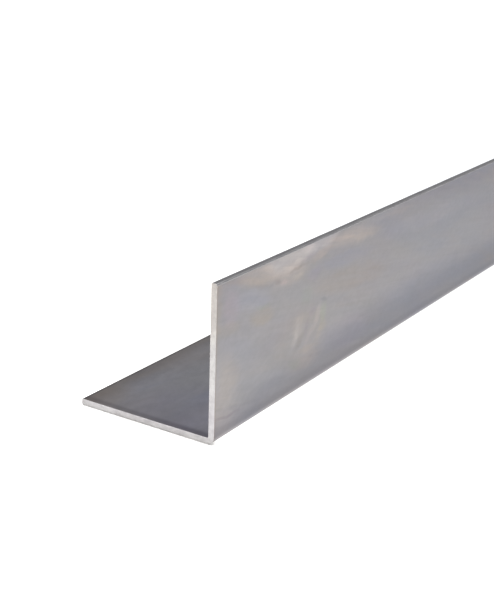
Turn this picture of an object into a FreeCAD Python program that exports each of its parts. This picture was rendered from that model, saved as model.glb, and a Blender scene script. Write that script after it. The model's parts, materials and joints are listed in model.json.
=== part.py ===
"""Equal-leg metal angle section: one stock length of cold-formed sheet steel.

One strip of sheet is bent once along its length into an L. It is one piece, so it is one solid.
It lies as it would on a level floor, on the outside of its horizontal leg, with the other leg
standing on the +X side. The length runs along Y. The origin is under the middle of the section's
box, at floor level: X 0 is half way across the horizontal leg and Y 0 is half way along.

The thickness is the same in both legs and round the bend, so the two bend arcs share one centre
and the outer radius is the inner one plus the thickness. The toes are slit edges: the slitting
knife rolls the edge over on the outside of the angle and leaves it nearly sharp on the inside.
Both sawn ends are deburred all round.
"""

import FreeCAD, Part

import math
import os

# Driving dimensions, in millimetres
LENGTH = 1000.0
HORIZONTAL_LEG = 50.0
VERTICAL_LEG = 50.0
THICKNESS = 2.0
INNER_BEND_RADIUS = 0.5
TOE_ROLLOVER_RADIUS = 0.6
TOE_SHARP_SIDE_RADIUS = 0.15
END_DEBURR = 0.1

# How close a vertex lies to a plane to count as being in it
IN_PLANE = 1e-6


def section_corners():
    """The L's six sharp corners as (x, z, radius), in order round the section from the floor toe."""
    toe_x = -HORIZONTAL_LEG / 2
    heel_x = HORIZONTAL_LEG / 2
    inner_x = heel_x - THICKNESS
    outer_bend_radius = INNER_BEND_RADIUS + THICKNESS
    return [
        (toe_x, 0.0, TOE_ROLLOVER_RADIUS),
        (heel_x, 0.0, outer_bend_radius),
        (heel_x, VERTICAL_LEG, TOE_ROLLOVER_RADIUS),
        (inner_x, VERTICAL_LEG, TOE_SHARP_SIDE_RADIUS),
        (inner_x, THICKNESS, INNER_BEND_RADIUS),
        (toe_x, THICKNESS, TOE_SHARP_SIDE_RADIUS),
    ]


def corner_arc(previous, corner, following, radius):
    """Start, middle and end of the arc of this radius that touches both straight sides of a corner."""
    to_previous = (previous - corner).normalize()
    to_following = (following - corner).normalize()
    half_angle = to_previous.getAngle(to_following) / 2
    reach = radius / math.tan(half_angle)
    bisector = (to_previous + to_following).normalize()
    corner_to_arc = radius / math.sin(half_angle) - radius
    return corner + to_previous * reach, corner + bisector * corner_to_arc, corner + to_following * reach


def section_outline(y):
    """The closed outline of the section in the plane at y, straight runs joined by tangent arcs."""
    corners = section_corners()
    points = [FreeCAD.Vector(x, y, z) for x, z, radius in corners]
    count = len(corners)
    arcs = [
        corner_arc(points[i - 1], points[i], points[(i + 1) % count], corners[i][2])
        for i in range(count)
    ]
    edges = []
    for i, (start, middle, end) in enumerate(arcs):
        next_start = arcs[(i + 1) % count][0]
        edges.append(Part.Arc(start, middle, end).toShape())
        edges.append(Part.LineSegment(end, next_start).toShape())
    return Part.Wire(edges)


def edges_in_end_plane(solid, y):
    """The edges round the sawn end in the plane at y."""
    return [edge for edge in solid.Edges if all(abs(vertex.Y - y) < IN_PLANE for vertex in edge.Vertexes)]


def angle_section():
    """The bent L, extruded over the stock length and deburred at both ends."""
    near_y = -LENGTH / 2
    far_y = LENGTH / 2
    section = Part.Face(section_outline(near_y))
    bar = section.extrude(FreeCAD.Vector(0, far_y - near_y, 0))
    sawn_edges = edges_in_end_plane(bar, near_y) + edges_in_end_plane(bar, far_y)
    return bar.makeChamfer(END_DEBURR, sawn_edges)


os.makedirs("parts", exist_ok=True)
angle_section().exportStep("parts/angle_section.step")
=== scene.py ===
"""The looks of a metal angle section: bare mill-finish faces, slit toes and bright sawn ends.

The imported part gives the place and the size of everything. One detailed mesh stands for the CAD
node: the same bent strip with a finely divided bend, rounded and slightly wavy slit edges, long
shallow waves in its faces and saw marks on both ends. Lengths are in metres in the part's own frame,
apart from those that a comment gives in millimetres.
"""

import json
import math

import bpy
from mathutils import Matrix, Vector, noise


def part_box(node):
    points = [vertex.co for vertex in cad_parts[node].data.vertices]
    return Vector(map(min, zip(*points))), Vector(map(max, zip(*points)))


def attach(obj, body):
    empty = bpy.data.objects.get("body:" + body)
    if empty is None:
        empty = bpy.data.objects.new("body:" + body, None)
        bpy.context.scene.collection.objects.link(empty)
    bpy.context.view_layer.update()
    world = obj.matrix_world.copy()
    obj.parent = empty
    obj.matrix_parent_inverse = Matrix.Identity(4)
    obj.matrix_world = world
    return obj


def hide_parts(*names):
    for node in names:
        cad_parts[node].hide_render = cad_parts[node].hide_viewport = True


NODE = "angle_section"
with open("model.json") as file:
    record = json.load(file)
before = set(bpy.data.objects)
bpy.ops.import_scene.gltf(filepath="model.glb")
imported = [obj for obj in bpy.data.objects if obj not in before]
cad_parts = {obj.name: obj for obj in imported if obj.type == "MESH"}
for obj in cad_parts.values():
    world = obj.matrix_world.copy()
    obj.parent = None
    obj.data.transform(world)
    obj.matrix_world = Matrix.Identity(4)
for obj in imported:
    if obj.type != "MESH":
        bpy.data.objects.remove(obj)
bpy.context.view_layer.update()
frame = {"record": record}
low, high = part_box(NODE)


def mount_place(name):
    """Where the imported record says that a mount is."""
    mounts = {mount["name"]: mount for mount in frame["record"]["mounts"]}
    return Vector(mounts[name]["pos_m"])


# The section, from the frame: the floor leg's inner face is one thickness above the floor
THICKNESS = mount_place("base_inner_face").z - low.z
INNER_BEND_RADIUS = 0.0005
TOE_ROLLOVER_RADIUS = 0.0006
TOE_SHARP_SIDE_RADIUS = 0.00015
END_EDGE_RADIUS = 0.0001
OUTER_BEND_RADIUS = INNER_BEND_RADIUS + THICKNESS

# The strip's mid-line: the floor leg, the quarter turn of the bend and the standing leg
BEND_RADIUS = INNER_BEND_RADIUS + THICKNESS / 2
BEND_CENTRE_X = high.x - THICKNESS - INNER_BEND_RADIUS
BEND_CENTRE_Z = low.z + THICKNESS + INNER_BEND_RADIUS
FLOOR_RUN = BEND_CENTRE_X - low.x
BEND_RUN = BEND_RADIUS * math.pi / 2
SIDE_RUN = high.z - BEND_CENTRE_Z
STRIP_WIDTH = FLOOR_RUN + BEND_RUN + SIDE_RUN

# How finely the mesh is divided
TOE_STEPS = 6
END_STEPS = 3
BEND_STEPS = 14
RUN_STEP = 0.0006
THICKNESS_STEPS = 6
RING_STEP = 0.005

# A mesh line this many times a toe's radius from the toe still counts as on its rounded edge
RADIUS_MARGIN = 1.001

# How strongly large faces decide the shading, so that flat ones stay flat next to rounded edges
LARGE_FACE_WEIGHT = 100

# Small departures from the ideal section, all of them inwards
FACE_WAVE = 0.00005
FACE_WAVE_LENGTH = 0.09
TOE_WANDER = 0.00008
TOE_WANDER_LENGTH = 0.018
TOE_WANDER_REACH = 0.003
SAW_MARK_DEPTH = 0.00005
SAW_MARK_SPACING = 0.0018
SAW_MARK_SLANT = 0.35
SAW_UNEVEN_LENGTH = 0.004

# Where the noise is sampled, so that the two faces, the two toes and the saw's marks all differ
FACE_NOISE_LAYER = 1.3
TOE_NOISE_LAYER = 3.1
SAW_NOISE_LAYER = 1.7

SHEET_MAP = "Sheet"
MILL, SLIT, SAWN = range(3)


def midline(distance):
    """The mid-line's x and z at a distance from the floor toe, and the outward normal's x and z."""
    if distance <= FLOOR_RUN:
        return low.x + distance, low.z + THICKNESS / 2, 0.0, -1.0
    if distance <= FLOOR_RUN + BEND_RUN:
        turn = (distance - FLOOR_RUN) / BEND_RADIUS
        normal_x, normal_z = math.sin(turn), -math.cos(turn)
        centre_x = BEND_CENTRE_X + BEND_RADIUS * normal_x
        centre_z = BEND_CENTRE_Z + BEND_RADIUS * normal_z
        return centre_x, centre_z, normal_x, normal_z
    return high.x - THICKNESS / 2, BEND_CENTRE_Z + distance - FLOOR_RUN - BEND_RUN, 1.0, 0.0


def even_steps(start, end, step):
    """Evenly spaced places about a step apart, from start up to but not including end."""
    count = max(1, round((end - start) / step))
    return [start + (end - start) * i / count for i in range(count)]


def arc_runs(radius):
    """How far in from a toe the mesh lines lie that draw its rounded edge of this radius."""
    return [radius * (1 - math.cos(i / TOE_STEPS * math.pi / 2)) for i in range(TOE_STEPS + 1)]


def half_thickness(run, radius):
    """From the mid-line to a face, at a run from the toe, where the face ends in a rounded edge."""
    if run >= radius:
        return THICKNESS / 2
    return THICKNESS / 2 - radius + math.sqrt(radius ** 2 - (radius - run) ** 2)


def strip_stations():
    """(distance from the floor toe, inner half, outer half) of every mesh line across the strip."""
    toe = sorted(set(arc_runs(TOE_SHARP_SIDE_RADIUS) + arc_runs(TOE_ROLLOVER_RADIUS)))
    distances = toe[:-1]
    distances += even_steps(TOE_ROLLOVER_RADIUS, FLOOR_RUN, RUN_STEP)
    distances += even_steps(FLOOR_RUN, FLOOR_RUN + BEND_RUN, BEND_RUN / BEND_STEPS)
    distances += even_steps(FLOOR_RUN + BEND_RUN, STRIP_WIDTH - TOE_ROLLOVER_RADIUS, RUN_STEP)
    distances += [STRIP_WIDTH - run for run in reversed(toe)]
    stations = []
    for distance in distances:
        run = min(distance, STRIP_WIDTH - distance)
        inner_half = half_thickness(run, TOE_SHARP_SIDE_RADIUS)
        stations.append((distance, inner_half, half_thickness(run, TOE_ROLLOVER_RADIUS)))
    return stations


def length_rings():
    """(y, inset) of every ring along the bar. The inset draws the section in at the rounded ends."""
    near = []
    for i in range(END_STEPS):
        turn = i / END_STEPS * math.pi / 2
        y = low.y + END_EDGE_RADIUS * (1 - math.cos(turn))
        near.append((y, END_EDGE_RADIUS * (1 - math.sin(turn))))
    start, end = low.y + END_EDGE_RADIUS, high.y - END_EDGE_RADIUS
    middle = [(y, 0.0) for y in even_steps(start, end, RING_STEP)] + [(end, 0.0)]
    far = [(low.y + high.y - y, inset) for y, inset in reversed(near)]
    return near + middle + far


def wave_share(*place):
    """Smooth noise from 0 to 1 at a place given by three numbers."""
    return 0.5 + 0.5 * noise.noise(Vector(place))


def face_dip(y, distance, step):
    """How far a face dips below flat at a place: long shallow waves, none at the toes and the bend."""
    if 0 < step < THICKNESS_STEPS:
        return 0.0
    run = distance if distance < FLOOR_RUN else STRIP_WIDTH - distance
    share = max(0.0, min(1.0, run / FLOOR_RUN))
    between = math.sin(math.pi * share) ** 2
    along, across = y / FACE_WAVE_LENGTH, distance / FACE_WAVE_LENGTH * 2
    return FACE_WAVE * between * wave_share(along, across, step * FACE_NOISE_LAYER)


def toe_wander(y, distance):
    """How far the knife has wandered inwards at a place: most at the toe, none a little way in."""
    run = min(distance, STRIP_WIDTH - distance)
    nearness = max(0.0, 1 - run / TOE_WANDER_REACH) ** 2
    inwards = 1 if distance < STRIP_WIDTH / 2 else -1
    wave = wave_share(y / TOE_WANDER_LENGTH, inwards * TOE_NOISE_LAYER, 0.0)
    return inwards * TOE_WANDER * nearness * wave


def saw_dip(x, z):
    """How deep the saw has scored an end at a place: slanting feed marks of uneven depth."""
    along = x * SAW_MARK_SLANT + z * math.sqrt(1 - SAW_MARK_SLANT ** 2)
    uneven = noise.noise(Vector((x / SAW_UNEVEN_LENGTH, z / SAW_UNEVEN_LENGTH, SAW_NOISE_LAYER)))
    return SAW_MARK_DEPTH * wave_share(along / SAW_MARK_SPACING, uneven, 0.0)


def section_point(station, step, inset=0.0, shift=0.0, dip=0.0):
    """x and z of a step through the thickness, from the inner face to the outer one.

    The inset draws the whole section in, the shift moves the place along the strip, and the dip
    lowers the face at the first or last step.
    """
    distance, inner_half, outer_half = station
    drawn_in = inset + distance * (STRIP_WIDTH - 2 * inset) / STRIP_WIDTH
    x, z, normal_x, normal_z = midline(drawn_in + shift)
    inner, outer = inset + dip - inner_half, outer_half - inset - dip
    offset = inner + (outer - inner) * step / THICKNESS_STEPS
    return x + normal_x * offset, z + normal_z * offset


def surface_point(station, step, y, inset):
    """x and z of a vertex as made, with the toes' wander and the faces' waves."""
    distance = station[0]
    return section_point(station, step, inset, toe_wander(y, distance), face_dip(y, distance, step))


def finish_at(first, second):
    """The finish of the face between two (station distance, step) places next to each other."""
    on_outside = first[1] == THICKNESS_STEPS and second[1] == THICKNESS_STEPS
    reach = TOE_ROLLOVER_RADIUS if on_outside else TOE_SHARP_SIDE_RADIUS
    runs = [min(distance, STRIP_WIDTH - distance) for distance, step in (first, second)]
    return SLIT if max(runs) < reach * RADIUS_MARGIN else MILL


def outline_order(stations):
    """(station, step through the thickness) of each vertex round the section, from the floor toe."""
    last = len(stations) - 1
    outer = [(i, THICKNESS_STEPS) for i in range(last + 1)]
    top_toe = [(last, j) for j in range(THICKNESS_STEPS - 1, 0, -1)]
    inner = [(i, 0) for i in range(last, -1, -1)]
    floor_toe = [(0, j) for j in range(1, THICKNESS_STEPS)]
    return outer + top_toe + inner + floor_toe


class Skin:
    """A mesh in the making: its vertices and faces, and each face's sheet map and finish."""

    def __init__(self):
        self.vertices = []
        self.faces = []
        self.maps = []
        self.finishes = []

    def add_face(self, face, on_map, finish):
        self.faces.append(face)
        self.maps.append(on_map)
        self.finishes.append(finish)

    def mesh(self, name):
        """The finished mesh, smooth shaded, with its sheet map and material numbers."""
        mesh = bpy.data.meshes.new(name)
        mesh.from_pydata(self.vertices, [], self.faces)
        sheet = mesh.uv_layers.new(name=SHEET_MAP)
        places = [value for face in self.maps for corner in face for value in corner]
        sheet.uv.foreach_set("vector", places)
        mesh.polygons.foreach_set("material_index", self.finishes)
        mesh.polygons.foreach_set("use_smooth", [True] * len(self.faces))
        mesh.update()
        return mesh


def girth_places(stations, outline):
    """How far round the section each vertex lies from the floor toe, and last the whole way round."""
    places = [section_point(stations[i], j) for i, j in outline]
    girth = [0.0]
    for n, place in enumerate(places):
        girth.append(girth[-1] + math.dist(place, places[(n + 1) % len(places)]))
    return girth


def add_long_faces(skin, stations, rings, outline):
    """The faces along the bar, from ring to ring. The sheet map unrolls them by y and by girth."""
    for y, inset in rings:
        for i, j in outline:
            x, z = surface_point(stations[i], j, y, inset)
            skin.vertices.append((x, y, z))
    girth = girth_places(stations, outline)
    count = len(outline)
    for k in range(len(rings) - 1):
        (near_y, near_inset), (far_y, far_inset) = rings[k], rings[k + 1]
        base, above = k * count, (k + 1) * count
        for n in range(count):
            after = (n + 1) % count
            start, end = girth[n], girth[n + 1]
            on_map = ((near_y, start), (far_y, start), (far_y, end), (near_y, end))
            first, second = [(stations[outline[m][0]][0], outline[m][1]) for m in (n, after)]
            finish = SAWN if near_inset + far_inset > 0 else finish_at(first, second)
            skin.add_face((base + n, above + n, above + after, base + after), on_map, finish)


def add_sawn_end(skin, stations, outline, rings, ring, outwards):
    """The scored face inside one of the end rings, as a grid across the strip and its thickness."""
    y, inset = rings[ring]
    place = {corner: ring * len(outline) + n for n, corner in enumerate(outline)}
    for i in range(1, len(stations) - 1):
        for j in range(1, THICKNESS_STEPS):
            x, z = surface_point(stations[i], j, y, inset)
            place[i, j] = len(skin.vertices)
            skin.vertices.append((x, y - outwards * saw_dip(x, z), z))
    for i in range(len(stations) - 1):
        for j in range(THICKNESS_STEPS):
            corners = [(i, j), (i + 1, j), (i + 1, j + 1), (i, j + 1)]
            if outwards < 0:
                corners.reverse()
            face = tuple(place[corner] for corner in corners)
            skin.add_face(face, [(skin.vertices[v][0], skin.vertices[v][2]) for v in face], SAWN)


def build_bar():
    """The whole bar as one closed mesh of quads."""
    stations = strip_stations()
    rings = length_rings()
    outline = outline_order(stations)
    skin = Skin()
    add_long_faces(skin, stations, rings, outline)
    add_sawn_end(skin, stations, outline, rings, ring=0, outwards=-1)
    add_sawn_end(skin, stations, outline, rings, ring=len(rings) - 1, outwards=1)

    bar = bpy.data.objects.new("angle_bar", skin.mesh("angle_bar"))
    bpy.context.scene.collection.objects.link(bar)
    smooth = bar.modifiers.new("flat faces stay flat", "WEIGHTED_NORMAL")
    smooth.weight = LARGE_FACE_WEIGHT
    return bar


class Material:
    """A material's node tree, with one short call for each kind of node that this scene uses."""

    def __init__(self, name):
        self.data = bpy.data.materials.new(name)
        self.data.use_nodes = True
        self.tree = self.data.node_tree
        self.shader = self.tree.nodes["Principled BSDF"]

    def node(self, kind, settings, inputs, output=0):
        """Adds a node, sets it up, feeds its inputs and returns one of its outputs."""
        made = self.tree.nodes.new("ShaderNode" + kind)
        for name, value in settings.items():
            setattr(made, name, value)
        for key, value in inputs.items():
            self.feed(made.inputs[key], value)
        return made.outputs[output]

    def feed(self, socket, value):
        """Links a node's output to the socket, or sets the socket to a plain value."""
        if isinstance(value, bpy.types.NodeSocket):
            self.tree.links.new(value, socket)
        else:
            socket.default_value = value

    def sheet(self):
        """Where a point lies on the unrolled sheet: along the bar, and round the section."""
        return self.node("UVMap", {"uv_map": SHEET_MAP}, {})

    def place(self):
        """Where a point lies in the part's own frame."""
        return self.node("TexCoord", {}, {}, "Object")

    def parts(self, vector):
        """The vector's separate numbers."""
        return self.node("SeparateXYZ", {}, {0: vector}).node.outputs

    def stretched(self, vector, length, height, turn=0.0):
        """The place in units of this length and height in millimetres, the length turned by degrees."""
        inputs = {"Vector": vector, "Rotation": (0, 0, math.radians(turn))}
        inputs["Scale"] = (length / 1000, height / 1000, height / 1000)
        return self.node("Mapping", {"vector_type": "TEXTURE"}, inputs)

    def noise(self, vector, detail, rough, bend=0.0):
        """Noise around 0.5 that changes over about one unit of the vector."""
        inputs = {"Vector": vector, "Scale": 1.0, "Detail": detail, "Roughness": rough, "Distortion": bend}
        return self.node("TexNoise", {}, inputs)

    def math(self, operation, a, b=0.0):
        """The result of a Math node's operation on one or two numbers."""
        return self.node("Math", {"operation": operation}, {0: a, 1: b})

    def summed(self, start, *terms):
        """The start plus each (share, value) term's product."""
        total = start
        for share, value in terms:
            total = self.math("ADD", total, self.math("MULTIPLY", share, value))
        return total

    def ranged(self, value, low_in, high_in, low_out=0.0, high_out=1.0):
        """A smooth step of value from low_in to high_in."""
        inputs = {"Value": value, "From Min": low_in, "From Max": high_in}
        inputs.update({"To Min": low_out, "To Max": high_out})
        return self.node("MapRange", {"interpolation_type": "SMOOTHSTEP"}, inputs)

    def mixed(self, share, first, second, blend="MIX"):
        """The first colour where the share is 0 and the second, or its blend, where it is 1."""
        settings = {"data_type": "RGBA", "blend_type": blend}
        return self.node("Mix", settings, {"Factor": share, "A": first, "B": second}, "Result")

    def tinted(self, share, colour, tint):
        """The colour multiplied by the tint, as far as the share says."""
        return self.mixed(share, colour, (*tint, 1), "MULTIPLY")

    def banded(self, distance, band, colour, share=None):
        """The colour multiplied by the band's tint, from where it fades out to where it is full."""
        fades_out, full, tint = band
        inside = self.ranged(distance, fades_out, full)
        if share is not None:
            inside = self.math("MULTIPLY", share, inside)
        return self.tinted(inside, colour, tint)

    def grey(self, value):
        """The value as a grey colour."""
        return self.node("CombineColor", {}, {0: value, 1: value, 2: value})

    def smeared(self, vector, spacing, reach):
        """The same place, shifted to and fro by up to the reach, so that what is drawn there is uneven."""
        inputs = {"Vector": vector, "Scale": 1 / spacing, "Detail": 3.0}
        spread = self.node("TexNoise", {}, inputs, "Color")
        shift = self.node("VectorMath", {"operation": "SUBTRACT"}, {0: spread, 1: (0.5, 0.5, 0.5)})
        shift = self.node("VectorMath", {"operation": "SCALE"}, {0: shift, "Scale": 2 * reach})
        return self.node("VectorMath", {"operation": "ADD"}, {0: vector, 1: shift})

    def spot(self, vector, centre, half_length, half_height, turn, core):
        """1 in a soft ellipse's core on the sheet, falling to 0 at its half sizes in millimetres."""
        inputs = {"Vector": vector, "Location": (*centre, 0), "Rotation": (0, 0, math.radians(turn))}
        inputs["Scale"] = (half_length / 1000, half_height / 1000, 1)
        inside = self.node("Mapping", {"vector_type": "TEXTURE"}, inputs)
        away = self.node("VectorMath", {"operation": "LENGTH"}, {0: inside}, "Value")
        return self.ranged(away, 1.0, core)

    def bare_metal(self, colour, roughness, relief, strength, depth):
        """Makes the shader a bare metal with this colour and roughness, and relief of this depth."""
        bump = self.node("Bump", {}, {"Strength": strength, "Distance": depth, "Height": relief})
        self.feed(self.shader.inputs["Normal"], bump)
        self.feed(self.shader.inputs["Base Color"], colour)
        self.feed(self.shader.inputs["Roughness"], roughness)
        self.shader.inputs["Metallic"].default_value = 1.0


# Where the faces lie on the sheet map, by their girth from the floor toe
TOE_ROUND_EXTRA = TOE_ROLLOVER_RADIUS * (math.pi / 2 - 1)
OUTER_BEND_GIRTH = OUTER_BEND_RADIUS * math.pi / 2
SIDE_START_GIRTH = TOE_ROUND_EXTRA + FLOOR_RUN + OUTER_BEND_GIRTH
BEND_MIDDLE_GIRTH = SIDE_START_GIRTH - OUTER_BEND_GIRTH / 2
TOP_TOE_GIRTH = SIDE_START_GIRTH + SIDE_RUN + TOE_ROUND_EXTRA
INNER_START_GIRTH = TOP_TOE_GIRTH + THICKNESS - TOE_ROLLOVER_RADIUS
INNER_TOE_GIRTH = INNER_START_GIRTH + SIDE_RUN + INNER_BEND_RADIUS * math.pi / 2 + FLOOR_RUN

# The way that streaks, films and the marks of a cloth run on the outer face, in degrees: down, away
# from the near end
STREAK_TURN = -9
CLOTH_TURN = -13

# What the streaks come to on average, and how much of their swing the inner faces keep
STREAK_MEAN = 0.42
STREAKS_INSIDE = 0.35

# The streaks' strength from where the clouds are thin to where they are dense
STREAKS_BY_CLOUD = (0.5, 1.2)

# The inner faces take over from the outer ones within this distance round the top toe
INNER_FADE = 0.0002

# Two values of each noise: the pattern that it makes is absent at the first and full at the second
CLOUD_SPAN = (0.36, 0.64)
DENSE_CLOUD_SPAN = (0.38, 0.58)
VIOLET_SPAN = (0.40, 0.65)
BROWN_SPAN = (0.53, 0.66)
BLUE_SPAN = (0.47, 0.34)
CLOTH_SPAN = (0.32, 0.62)
SLIT_PATCH_SPAN = (0.42, 0.62)
SAWN_BLOTCH_SPAN = (0.35, 0.65)

# The sheet's two base colours, and the tints of its clouds and films, which are multiplied in
COOL_STEEL = (0.244, 0.242, 0.256, 1)
WARM_STEEL = (0.250, 0.239, 0.239, 1)
VIOLET_CLOUD = (0.985, 0.975, 1.01)
BROWN_FILM = (1.05, 0.99, 0.93)
BLUE_FILM = (0.95, 0.97, 1.03)

# Films keep this much of their strength on the inner faces, and lose this much where the outer face
# has its marks: an ellipse, in millimetres, with its middle, its half sizes, its turn and its even core
FILMS_INSIDE = 0.5
FILM_LOSS = 0.7
MARKED_MIDDLE = (100, 25)
MARKED_ELLIPSE = (135, 34, 0.0, 0.8)

# Bands of tone: how far off each fades out, how far off it is full, and its tint. These three go by the
# way round from the middle of the outer bend: painted shade beside the bend, deeper painted shade next
# to it, and a painted reflection on the bend's middle
PAINTED_BEND_SHADE = (0.0190, 0.0050, (0.69, 0.703, 0.755))
DEEPER_BEND_SHADE = (0.0052, 0.0030, (0.89, 0.885, 0.89))
PAINTED_BEND_REFLECTION = (0.0026, 0.0006, (1.50, 1.48, 1.42))

# The painted shade beside the bend gets wider between these distances from the near end, by this much
WIDENING_RUN = (0.03, 0.11)
WIDENING = 0.004

# Bands on the inner faces, by distance from their toes
TOE_BAND = (0.0080, -0.001, (0.765, 0.73, 0.69))
TOE_RIM = (0.0016, 0.0004, (0.66, 0.67, 0.69))

# How far the patches move the edges of the painted shade beside the bend and of the toe band
BEND_SHADE_SWING = 0.004
TOE_SWING = -0.003

# A painted shade line on the inner faces and a thin warm rim on all, by distance from the sawn ends. The
# shade line is weaker right at the end: its strength there, and where it starts and stops to rise
PAINTED_END_SHADE = (0.0038, 0.0018, (0.745, 0.73, 0.745))
END_RIM = (0.0010, 0.0003, (0.98, 0.94, 0.89))
END_LINE_AT_END = 0.35
END_LINE_RISE = (0.0002, 0.0016)

# Bands on the sawn ends, by height above the floor: painted contact shade at the foot and on the lowest
# edge, a cool lower half, a warm upper part, and painted shade at the top
SAWN_BANDS = {
    "painted contact shade at the foot": (0.0045, 0.0010, (0.885, 0.885, 0.872)),
    "painted contact shadow on the lowest edge": (0.0007, 0.0002, (0.89, 0.895, 0.88)),
    "cool lower half": (0.024, 0.006, (0.95, 0.945, 0.98)),
    "warm upper part": (0.028, 0.036, (1.03, 1.01, 0.975)),
    "painted shade at the top": (0.030, 0.046, (0.895, 0.88, 0.872)),
}

# Dark and light tones of the sawn ends, of the slit edges and of the edges' rolled-over side, and the
# distance within which that side takes over at the top toe
SAWN_TONES = ((0.44, 0.430, 0.422, 1), (0.76, 0.747, 0.737, 1))
SLIT_TONES = ((0.150, 0.148, 0.155, 1), (0.215, 0.210, 0.212, 1))
ROLLED_TONES = ((0.45, 0.441, 0.444, 1), (0.53, 0.518, 0.514, 1))
ROLLED_FADE = 0.0010
SAWN_BLOTCH = (0.86, 0.85, 0.86)
SLIT_PATCH = (0.90, 0.89, 0.90)

# The sawn ends' mottle is strongest at the foot, and falls to this share between these heights
MOTTLE_SHARE = 0.6
MOTTLE_FALL = (0.002, 0.006)

# The outer face's marks are smeared: from one smear to the next, and how far each reaches. The cloth
# that wiped them has left at least this share of each everywhere
SMEAR_SPACING = 0.006
SMEAR_REACH = 0.0014
WIPED_LEAST = 0.72

# Shades on top of the floor leg, in millimetres: along from the near end, across from the toe, half
# length, half width, even core as a share, and the tint. The ones along the sawn end and in the inner
# corner are painted shade
FLOOR_LEG_SHADES = {
    "cool middle": (14, 33, 30, 22, 0.3, (0.935, 0.945, 1.03)),
    "paler middle further along": (62, 33, 30, 20, 0.3, (1.05, 1.025, 1.05)),
    "brown corner of the toe": (4, 6, 16, 8, 0.3, (1.0, 0.945, 0.87)),
    # Painted shade along the sawn end and in the inner corner
    "painted shade along the sawn end": (0, 40, 4.2, 34, 0.2, (0.82, 0.81, 0.83)),
    "painted shade in the inner corner": (0, 46, 8.5, 13, 0.2, (0.84, 0.84, 0.86)),
    "faint band behind the sawn end": (6.5, 24, 5.5, 24, 0.4, (0.965, 0.965, 0.975)),
}

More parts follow.
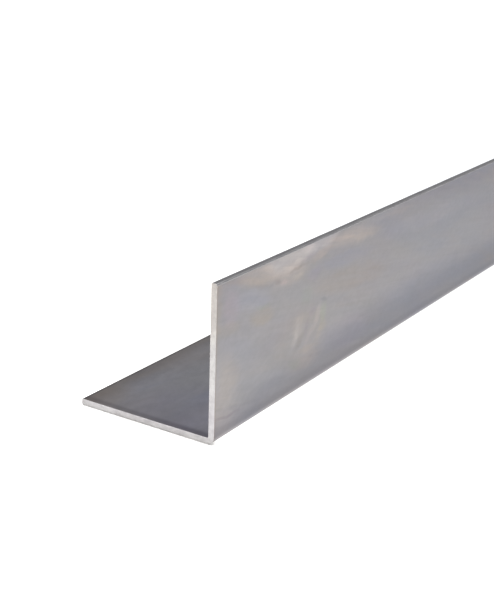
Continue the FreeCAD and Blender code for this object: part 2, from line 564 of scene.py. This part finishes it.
# Marks on the standing leg's outer face, in millimetres: along from the near end, height above the
# floor, half length, half height, turn in degrees, even core as a share, and the tint
SIDE_MARKS = {
    "wiped crescent under the top edge": (40, 49.2, 20, 7.4, 0, 0.4, (1.50, 1.43, 1.36)),
    "far end of the crescent": (60, 49.2, 14, 4.6, 3, 0.4, (1.40, 1.35, 1.32)),
    "near end of the crescent": (22, 46.6, 15, 4.4, -11, 0.4, (1.25, 1.165, 1.065)),
    "lower fringe of the crescent": (41, 42.4, 14, 5.2, 0, 0.3, (1.25, 1.17, 1.09)),
    "bright dot in the fringe": (37, 40.9, 3.2, 1.6, 12, 0.2, (1.19, 1.11, 1.11)),
    "dark smear before the dot": (33.5, 41.8, 3.4, 1.1, -14, 0.1, (0.90, 0.87, 0.87)),
    "bright streak in the fringe": (46, 40.9, 5, 1.5, -4, 0.2, (1.09, 1.08, 1.03)),
    "bright lip of the crescent": (46, 45.8, 8, 1.0, 2, 0.3, (1.09, 1.08, 1.07)),
    "dark line under the crescent": (45, 43.7, 8, 0.9, 0, 0.2, (0.84, 0.83, 0.82)),
    "pink streak under the far end": (52.5, 45.2, 6, 1.1, 4, 0.2, (1.10, 1.05, 1.07)),
    "brown streak under the far end": (60, 44.6, 10, 1.9, 6, 0.3, (1.19, 1.105, 1.035)),
    "dark line under the near end": (24, 43.0, 9, 1.0, -12, 0.2, (0.93, 0.93, 0.94)),
    "wiped tail along the top edge": (82, 45.6, 27, 3.9, -5, 0.3, (1.255, 1.18, 1.085)),
    "upper streak of the tail": (74, 46.6, 13, 1.1, -6, 0.3, (1.10, 1.06, 1.04)),
    "lower streak of the tail": (88, 44.4, 15, 1.2, -7, 0.3, (1.08, 1.05, 1.01)),
    "upper rim of the tail": (97, 49.2, 28, 3.2, -2, 0.4, (1.075, 1.065, 1.05)),
    "thin streak beyond the tail": (114, 47.2, 20, 1.5, -2, 0.2, (1.06, 1.035, 1.0)),
    "brown haze round the smudges": (49, 19, 20, 14, -6, 0.5, (1.025, 0.995, 0.945)),
    "brown haze before the smudges": (31, 20, 16, 8, -10, 0.3, (1.01, 0.992, 0.965)),
    "near smudge": (46.6, 22.8, 7.4, 5.0, 70, 0.3, (1.09, 1.07, 1.045)),
    "bright core of the near smudge": (46.3, 22.6, 6.0, 1.9, 76, 0.2, (1.11, 1.11, 1.10)),
    "lower end of the near smudge": (44.5, 18.9, 3.6, 2.0, 48, 0.2, (1.11, 1.10, 1.08)),
    "second streak of the near smudge": (49.0, 24.4, 4.6, 1.2, 72, 0.2, (1.05, 1.045, 1.03)),
    "shade below the near smudge": (47.8, 18.0, 5.6, 2.1, 37, 0.2, (0.885, 0.865, 0.85)),
    "violet shade between the smudges": (52.3, 21.5, 4.5, 1.6, 72, 0.2, (0.955, 0.925, 0.975)),
    "far smudge": (59.6, 23.9, 5.2, 2.3, 62, 0.2, (1.15, 1.12, 1.105)),
    "bend of the far smudge": (56.4, 20.4, 4.4, 2.0, 36, 0.2, (1.09, 1.065, 1.065)),
    "pink tail of the far smudge": (53.3, 17.4, 4.4, 2.0, 55, 0.2, (1.07, 1.04, 1.04)),
    "brown foot of the far smudge": (61.0, 17.2, 4.4, 2.4, 58, 0.2, (1.08, 1.06, 1.01)),
    "greenish side of the far smudge": (63.4, 24.3, 4.2, 3.0, 70, 0.4, (1.035, 1.09, 0.985)),
    "yellow brown patch beside the far smudge": (63, 19.8, 3.4, 3.6, 0, 0.3, (1.04, 1.02, 0.95)),
    "dark end of the far smudge": (63.3, 28.2, 3.4, 1.2, -14, 0.2, (0.84, 0.85, 0.86)),
    "violet patch between the smudges' tops": (56.2, 25.6, 3.6, 2.2, 20, 0.3, (0.985, 0.955, 1.02)),
    "brown sweep below the smudges": (53, 14.2, 7.0, 2.0, 3, 0.2, (1.06, 1.035, 1.00)),
    "pale cloud below the smudges": (53, 11.5, 15, 5.6, -4, 0.3, (1.08, 1.04, 1.01)),
    "greenish side of the cloud": (45.5, 11, 5.5, 2.4, -14, 0.3, (0.965, 1.01, 0.97)),
    "pale area by the near end": (3, 16, 13, 19, 0, 0.2, (1.13, 1.10, 1.07)),
    "warm patch in the pale area": (7, 19, 8, 9, 0, 0.3, (1.04, 1.01, 0.96)),
    # Lighter where the painted shade beside the bend ends by the near end
    "lighter near end of the painted bend shade": (6, 7.5, 22, 8, 0, 0.2, (1.19, 1.165, 1.105)),
    "drag line near the bend": (7, 7.2, 10, 0.8, -4, 0.2, (0.88, 0.86, 0.89)),
    "violet patch near the top": (7.5, 41, 6, 8, 0, 0.3, (1.09, 1.03, 1.065)),
    "brown rim by the near end": (0, 44, 3.6, 20, 0, 0.4, (1.06, 1.02, 0.95)),
    "brown corner of the near end": (3, 49.5, 8, 5, 0, 0.3, (1.05, 1.01, 0.965)),
    "first brown film": (7, 34.5, 9, 3.0, -8, 0.4, (1.03, 1.00, 0.95)),
    "second brown film": (25, 33.4, 9, 3.6, -10, 0.4, (1.05, 1.00, 0.92)),
    "greenish edge of the second film": (25, 36.4, 7, 1.1, -9, 0.2, (1.00, 1.03, 0.95)),
    "blue film near the end": (19, 40.0, 13, 5.0, -8, 0.5, (1.04, 1.055, 1.105)),
    "cool film below the brown ones": (11, 28.5, 14, 3.6, -14, 0.3, (1.015, 1.02, 1.045)),
    "brown film along the middle": (82, 31.0, 36, 5.4, -6, 0.5, (1.02, 0.98, 0.93)),
    "greenish film before the middle": (52, 32.5, 5, 4.5, -30, 0.3, (0.97, 1.01, 0.97)),
    "blue film along the middle": (76, 39.2, 27, 3.2, -4, 0.4, (0.965, 0.98, 1.045)),
    "violet patch in the blue film": (56, 39.0, 6, 3.4, 0, 0.3, (0.98, 0.96, 1.03)),
    "violet beyond the smudges": (82, 12, 24, 9, -6, 0.3, (1.035, 1.01, 1.035)),
    "blue band far above the bend": (158, 13, 76, 8, -1, 0.4, (0.97, 0.99, 1.035)),
    "cool grey beyond the smudges": (92, 21, 24, 8, -14, 0.3, (0.955, 0.97, 0.985)),
    "cool film over the far part": (170, 26, 60, 12, -2, 0.4, (0.985, 0.997, 1.02)),
    "pale streak beyond the middle": (150, 39, 60, 5, -2, 0.4, (1.07, 1.06, 1.065)),
    "shade under the far top edge": (188, 50, 72, 9, 0, 0.3, (0.86, 0.87, 0.94)),
}


def side_place(along, height):
    """A place on the standing leg's outer face, given in millimetres, on the sheet map."""
    return low.y + along / 1000, SIDE_START_GIRTH + low.z + height / 1000 - BEND_CENTRE_Z


def floor_leg_place(along, across):
    """A place on top of the floor leg, in millimetres from the near end and from the toe, on the map."""
    return low.y + along / 1000, INNER_TOE_GIRTH - across / 1000


def with_floor_leg_shades(m, sheet, colour):
    """The colour with each shade on top of the floor leg multiplied in."""
    for along, across, half_length, half_width, core, tint in FLOOR_LEG_SHADES.values():
        inside = m.spot(sheet, floor_leg_place(along, across), half_length, half_width, 0.0, core)
        colour = m.tinted(inside, colour, tint)
    return colour


def with_side_marks(m, sheet, colour, wiped):
    """The colour with each of the outer face's marks multiplied in, unevenly as a cloth leaves it."""
    uneven = m.smeared(sheet, SMEAR_SPACING, SMEAR_REACH)
    for along, height, half_length, half_height, turn, core, tint in SIDE_MARKS.values():
        inside = m.spot(uneven, side_place(along, height), half_length, half_height, turn, core)
        colour = m.tinted(m.math("MULTIPLY", inside, wiped), colour, tint)
    return colour


def weaker_inside(m, girth, share):
    """1 on the outer faces and this share on the inner ones."""
    return m.ranged(girth, INNER_START_GIRTH - INNER_FADE, INNER_START_GIRTH, 1.0, share)


def with_films(m, sheet, girth, colour):
    """Faint brown and blue films, weaker on the inner faces and where the outer face has its marks."""
    marked = m.spot(sheet, side_place(*MARKED_MIDDLE), *MARKED_ELLIPSE)
    strength = m.math("SUBTRACT", 1.0, m.math("MULTIPLY", FILM_LOSS, marked))
    strength = m.math("MULTIPLY", strength, weaker_inside(m, girth, FILMS_INSIDE))
    film = m.noise(m.stretched(sheet, 70, 13, STREAK_TURN), detail=4, rough=0.55, bend=0.6)
    brown = m.math("MULTIPLY", strength, m.ranged(film, *BROWN_SPAN))
    blue = m.math("MULTIPLY", strength, m.ranged(film, *BLUE_SPAN))
    colour = m.tinted(brown, colour, BROWN_FILM)
    return m.tinted(blue, colour, BLUE_FILM)


def with_painted_bend_shading(m, along, girth, ragged, colour):
    """Painted shade beside the bend, deeper right next to it, and a painted reflection on its middle."""
    from_bend = m.math("ABSOLUTE", m.math("SUBTRACT", girth, BEND_MIDDLE_GIRTH))
    start, end = [low.y + distance for distance in WIDENING_RUN]
    widened = m.ranged(along, start, end, 0.0, WIDENING)
    reach = m.math("SUBTRACT", m.summed(from_bend, (BEND_SHADE_SWING, ragged)), widened)
    colour = m.banded(reach, PAINTED_BEND_SHADE, colour)
    colour = m.banded(from_bend, DEEPER_BEND_SHADE, colour)
    return m.banded(from_bend, PAINTED_BEND_REFLECTION, colour)


def with_toe_bands(m, girth, inner_side, ragged, colour):
    """The inner faces browner and duller towards their toes, with a dark rim along the edge."""
    from_top_toe = m.math("SUBTRACT", girth, INNER_START_GIRTH)
    from_floor_toe = m.math("SUBTRACT", INNER_TOE_GIRTH, girth)
    from_toe = m.math("MINIMUM", from_top_toe, from_floor_toe)
    uneven = m.summed(from_toe, (TOE_SWING, ragged))
    colour = m.banded(uneven, TOE_BAND, colour, inner_side)
    return m.banded(from_toe, TOE_RIM, colour, inner_side)


def with_end_bands(m, along, inner_side, colour):
    """A painted shade line on the inner faces just in from the sawn ends, and a thin warm rim along them.
    """
    from_end = m.math("SUBTRACT", high.y, m.math("ABSOLUTE", along))
    rise = m.ranged(from_end, *END_LINE_RISE, END_LINE_AT_END, 1.0)
    colour = m.banded(from_end, PAINTED_END_SHADE, colour, m.math("MULTIPLY", inner_side, rise))
    return m.banded(from_end, END_RIM, colour)


def mill_material():
    """Bare mill-finish sheet: grain and streaks along it, mottle, clouds, films, marks, and bands, some
    painted shade and reflection.
    """
    m = Material("mill_steel")
    sheet = m.sheet()
    along, girth = m.parts(sheet)[0:2]
    inner_side = m.math("GREATER_THAN", girth, INNER_START_GIRTH)

    clouds = m.noise(m.stretched(sheet, 90, 20, STREAK_TURN), detail=4, rough=0.55, bend=0.4)
    violet = m.noise(m.stretched(sheet, 60, 24), detail=3, rough=0.5, bend=0.3)
    patches = m.noise(m.stretched(sheet, 22, 7, STREAK_TURN), detail=4, rough=0.6, bend=0.8)
    streaks = m.noise(m.stretched(sheet, 26, 1.6, STREAK_TURN), detail=4, rough=0.6)
    mottle = m.noise(m.stretched(sheet, 3.4, 1.9, 20), detail=3, rough=0.6, bend=0.5)
    grain = m.noise(m.stretched(sheet, 14, 0.2), detail=2, rough=0.6)
    cloth = m.noise(m.stretched(sheet, 15, 2.2, CLOTH_TURN), detail=3, rough=0.5, bend=0.5)

    colour = m.mixed(m.ranged(clouds, *CLOUD_SPAN), COOL_STEEL, WARM_STEEL)
    colour = m.tinted(m.ranged(violet, *VIOLET_SPAN), colour, VIOLET_CLOUD)
    strength = m.ranged(clouds, *DENSE_CLOUD_SPAN, *STREAKS_BY_CLOUD)
    streaked = m.math("MULTIPLY", streaks, strength)
    swing = weaker_inside(m, girth, STREAKS_INSIDE)
    streaked = m.summed(STREAK_MEAN, (swing, m.math("SUBTRACT", streaked, STREAK_MEAN)))
    value = m.summed(0.69, (0.26, patches), (0.14, streaked), (0.20, mottle), (0.02, grain))
    colour = m.mixed(1.0, colour, m.grey(value), "MULTIPLY")

    wiped = m.ranged(cloth, *CLOTH_SPAN, WIPED_LEAST, 1.0)
    colour = with_films(m, sheet, girth, colour)
    colour = with_side_marks(m, sheet, colour, wiped)
    colour = with_floor_leg_shades(m, sheet, colour)
    # Painted shade beside the bend and a painted reflection on the bend's middle
    colour = with_painted_bend_shading(m, along, girth, patches, colour)
    colour = with_toe_bands(m, girth, inner_side, patches, colour)
    # Painted shade line on the inner faces by the sawn ends
    colour = with_end_bands(m, along, inner_side, colour)

    roughness = m.summed(0.33, (0.10, patches), (0.04, mottle))
    relief = m.summed(mottle, (0.20, grain), (0.25, streaks))
    m.bare_metal(colour, roughness, relief, strength=0.2, depth=0.00002)
    return m.data


def slit_material():
    """The toes' slit edges: dull, with short drag streaks, clearer where the knife rolled them over."""
    m = Material("slit_edge_steel")
    sheet = m.sheet()
    girth = m.parts(sheet)[1]
    streaks = m.noise(m.stretched(sheet, 6, 0.4), detail=3, rough=0.6)
    patches = m.noise(m.stretched(sheet, 9, 2.0), detail=3, rough=0.6)
    dull = m.mixed(streaks, *SLIT_TONES)
    clear = m.mixed(streaks, *ROLLED_TONES)
    before_top_toe = m.math("SUBTRACT", TOP_TOE_GIRTH, girth)
    colour = m.mixed(m.ranged(before_top_toe, 0.0, ROLLED_FADE), dull, clear)
    colour = m.tinted(m.ranged(patches, *SLIT_PATCH_SPAN), colour, SLIT_PATCH)
    m.bare_metal(colour, roughness=0.52, relief=streaks, strength=0.3, depth=0.00003)
    return m.data


def sawn_material():
    """Sawn ends: bright mottled bare metal, painted shade at the floor, warmer with painted shade at the
    top.
    """
    m = Material("sawn_steel")
    place = m.place()
    height = m.math("SUBTRACT", m.parts(place)[2], low.z)
    blotches = m.noise(m.stretched(place, 6, 7), detail=3, rough=0.6, bend=0.5)
    marks = m.noise(m.stretched(place, 1.3, 1.1), detail=4, rough=0.6)
    contrast = m.ranged(height, *MOTTLE_FALL, 1.0, MOTTLE_SHARE)
    marks = m.summed(0.5, (contrast, m.math("SUBTRACT", marks, 0.5)))
    colour = m.mixed(marks, *SAWN_TONES)
    colour = m.tinted(m.ranged(blotches, *SAWN_BLOTCH_SPAN), colour, SAWN_BLOTCH)
    # Some of these bands are painted shade: at the foot, on the lowest edge and at the top
    for band in SAWN_BANDS.values():
        colour = m.banded(height, band, colour)
    m.bare_metal(colour, roughness=0.5, relief=marks, strength=0.5, depth=0.00004)
    return m.data


# The sky: its strength and colour low down and overhead, and the heights where it starts and stops to
# change from one to the other
SKY_DIM = 0.27
SKY_DIM_COLOUR = (0.955, 0.985, 1.055, 1)
SKY_BRIGHT = 2.6
SKY_BRIGHT_COLOUR = (1, 1, 1, 1)
SKY_DIM_BELOW = math.radians(28)
SKY_BRIGHT_ABOVE = math.radians(62)

# The white floor's tone at the near end, and from the fade's distance on: painted light falling off away
# from the near end. A share of its light is its own glow, so that it stays white: beside the bar, from the
# near end's rise on, and anywhere far off
FLOOR_NEAR = (0.95, 0.94, 0.92, 1)
FLOOR_FAR = (0.625, 0.63, 0.65, 1)
FLOOR_FADE = 0.36
FLOOR_GLOW = 1.95
FLOOR_GLOW_SHARE = 0.75
FLOOR_GLOW_RISE = (-0.001, 0.005)
FLOOR_FAR_OFF = (0.8, 2.0)

# The floor reaches this far each way, and lies this far below the bar
FLOOR_REACH = 30.0
FLOOR_DROP = 0.0001

# A large soft lamp, high up in front of the near end on the floor toe's side
KEY_PLACE = Vector((-0.9, low.y - 1.4, 1.1))
KEY_AIM = Vector((0, low.y, 0))
KEY_SIZE = 0.9
KEY_POWER = 14.0

# The camera, from the near end of the bar at floor level below the standing leg's outer face
CAMERA_OFFSET = Vector((0.1755, -0.2632, 0.1553))
CAMERA_HEADING = math.radians(32.17)
CAMERA_DIP = math.radians(18.958)
CAMERA_ROLL = math.radians(1.787)
PHOTO_LONG_SIDE = 593
FOCAL_PIXELS = 1193.5
SENSOR = 36.0
CAMERA_CLIP = (0.01, 100.0)


def make_camera():
    """A camera where the photograph's was, turned by its heading, dip and roll."""
    data = bpy.data.cameras.new("camera")
    data.sensor_width = SENSOR
    data.lens = FOCAL_PIXELS / PHOTO_LONG_SIDE * SENSOR
    data.clip_start, data.clip_end = CAMERA_CLIP
    camera = bpy.data.objects.new("camera", data)
    bpy.context.scene.collection.objects.link(camera)
    turned = Matrix.Rotation(CAMERA_HEADING, 4, "Z")
    dipped = Matrix.Rotation(math.pi / 2 - CAMERA_DIP, 4, "X")
    rolled = Matrix.Rotation(CAMERA_ROLL, 4, "Z")
    heel = Vector((high.x, low.y, low.z))
    camera.matrix_world = Matrix.Translation(heel + CAMERA_OFFSET) @ turned @ dipped @ rolled
    bpy.context.scene.camera = camera


def floor_material():
    """A white sheet, darker and cooler away from the near end as painted light falloff, lit from below
    except in front of it.
    """
    m = Material("floor_white")
    place = m.place()
    heel = (high.x, low.y, low.z)
    from_heel = m.node("VectorMath", {"operation": "DISTANCE"}, {0: place, 1: heel}, "Value")
    far_share = m.node("MapRange", {}, {"Value": from_heel, "From Min": 0.0, "From Max": FLOOR_FADE})
    # Painted falloff of light: brightest at the near end, darker and cooler further off
    colour = m.mixed(far_share, FLOOR_NEAR, FLOOR_FAR)
    past_end = m.math("SUBTRACT", m.parts(place)[1], low.y)
    beside_bar = m.ranged(past_end, *FLOOR_GLOW_RISE, 0.0, FLOOR_GLOW_SHARE)
    far_off = m.ranged(from_heel, *FLOOR_FAR_OFF, 0.0, FLOOR_GLOW_SHARE)
    glow_share = m.math("MAXIMUM", beside_bar, far_off)
    black = (0, 0, 0, 1)
    m.feed(m.shader.inputs["Base Color"], m.mixed(glow_share, colour, black))
    m.feed(m.shader.inputs["Emission Color"], m.mixed(glow_share, black, colour))
    m.shader.inputs["Emission Strength"].default_value = FLOOR_GLOW
    m.shader.inputs["Roughness"].default_value = 1.0
    m.shader.inputs["Specular IOR Level"].default_value = 0.0
    return m.data


def make_floor():
    """A level sheet far wider than any view, a hair below the bar."""
    level = low.z - FLOOR_DROP
    signs = ((-1, -1), (1, -1), (1, 1), (-1, 1))
    corners = [(x * FLOOR_REACH, y * FLOOR_REACH, level) for x, y in signs]
    mesh = bpy.data.meshes.new("floor")
    mesh.from_pydata(corners, [], [(0, 1, 2, 3)])
    mesh.materials.append(floor_material())
    floor = bpy.data.objects.new("floor", mesh)
    bpy.context.scene.collection.objects.link(floor)


def make_world():
    """Soft light from all round: dim and cool near the horizon, bright and white overhead."""
    world = bpy.data.worlds.new("studio")
    bpy.context.scene.world = world
    world.use_nodes = True
    tree = world.node_tree
    background = tree.nodes["Background"]
    direction = tree.nodes.new("ShaderNodeTexCoord")
    split = tree.nodes.new("ShaderNodeSeparateXYZ")
    ramp = tree.nodes.new("ShaderNodeMapRange")
    ramp.interpolation_type = "SMOOTHSTEP"
    ramp.inputs["From Min"].default_value = math.sin(SKY_DIM_BELOW)
    ramp.inputs["From Max"].default_value = math.sin(SKY_BRIGHT_ABOVE)
    colour = tree.nodes.new("ShaderNodeMix")
    colour.data_type = "RGBA"
    colour.inputs["A"].default_value = [SKY_DIM * part for part in SKY_DIM_COLOUR]
    colour.inputs["B"].default_value = [SKY_BRIGHT * part for part in SKY_BRIGHT_COLOUR]
    tree.links.new(direction.outputs["Generated"], split.inputs[0])
    tree.links.new(split.outputs["Z"], ramp.inputs["Value"])
    tree.links.new(ramp.outputs[0], colour.inputs["Factor"])
    tree.links.new(colour.outputs["Result"], background.inputs["Color"])
    background.inputs["Strength"].default_value = 1.0


def make_key_light():
    """The lamp, aimed at the bar's near end."""
    data = bpy.data.lights.new("key", "AREA")
    data.shape = "SQUARE"
    data.size = KEY_SIZE
    data.energy = KEY_POWER
    light = bpy.data.objects.new("key", data)
    bpy.context.scene.collection.objects.link(light)
    light.location = KEY_PLACE
    light.rotation_euler = (KEY_AIM - KEY_PLACE).to_track_quat("-Z", "Y").to_euler()


bar = build_bar()
for finish in (mill_material(), slit_material(), sawn_material()):
    bar.data.materials.append(finish)
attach(bar, "root")
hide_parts(NODE)

make_camera()
make_floor()
make_world()
make_key_light()
bpy.context.scene.view_settings.view_transform = "Standard"
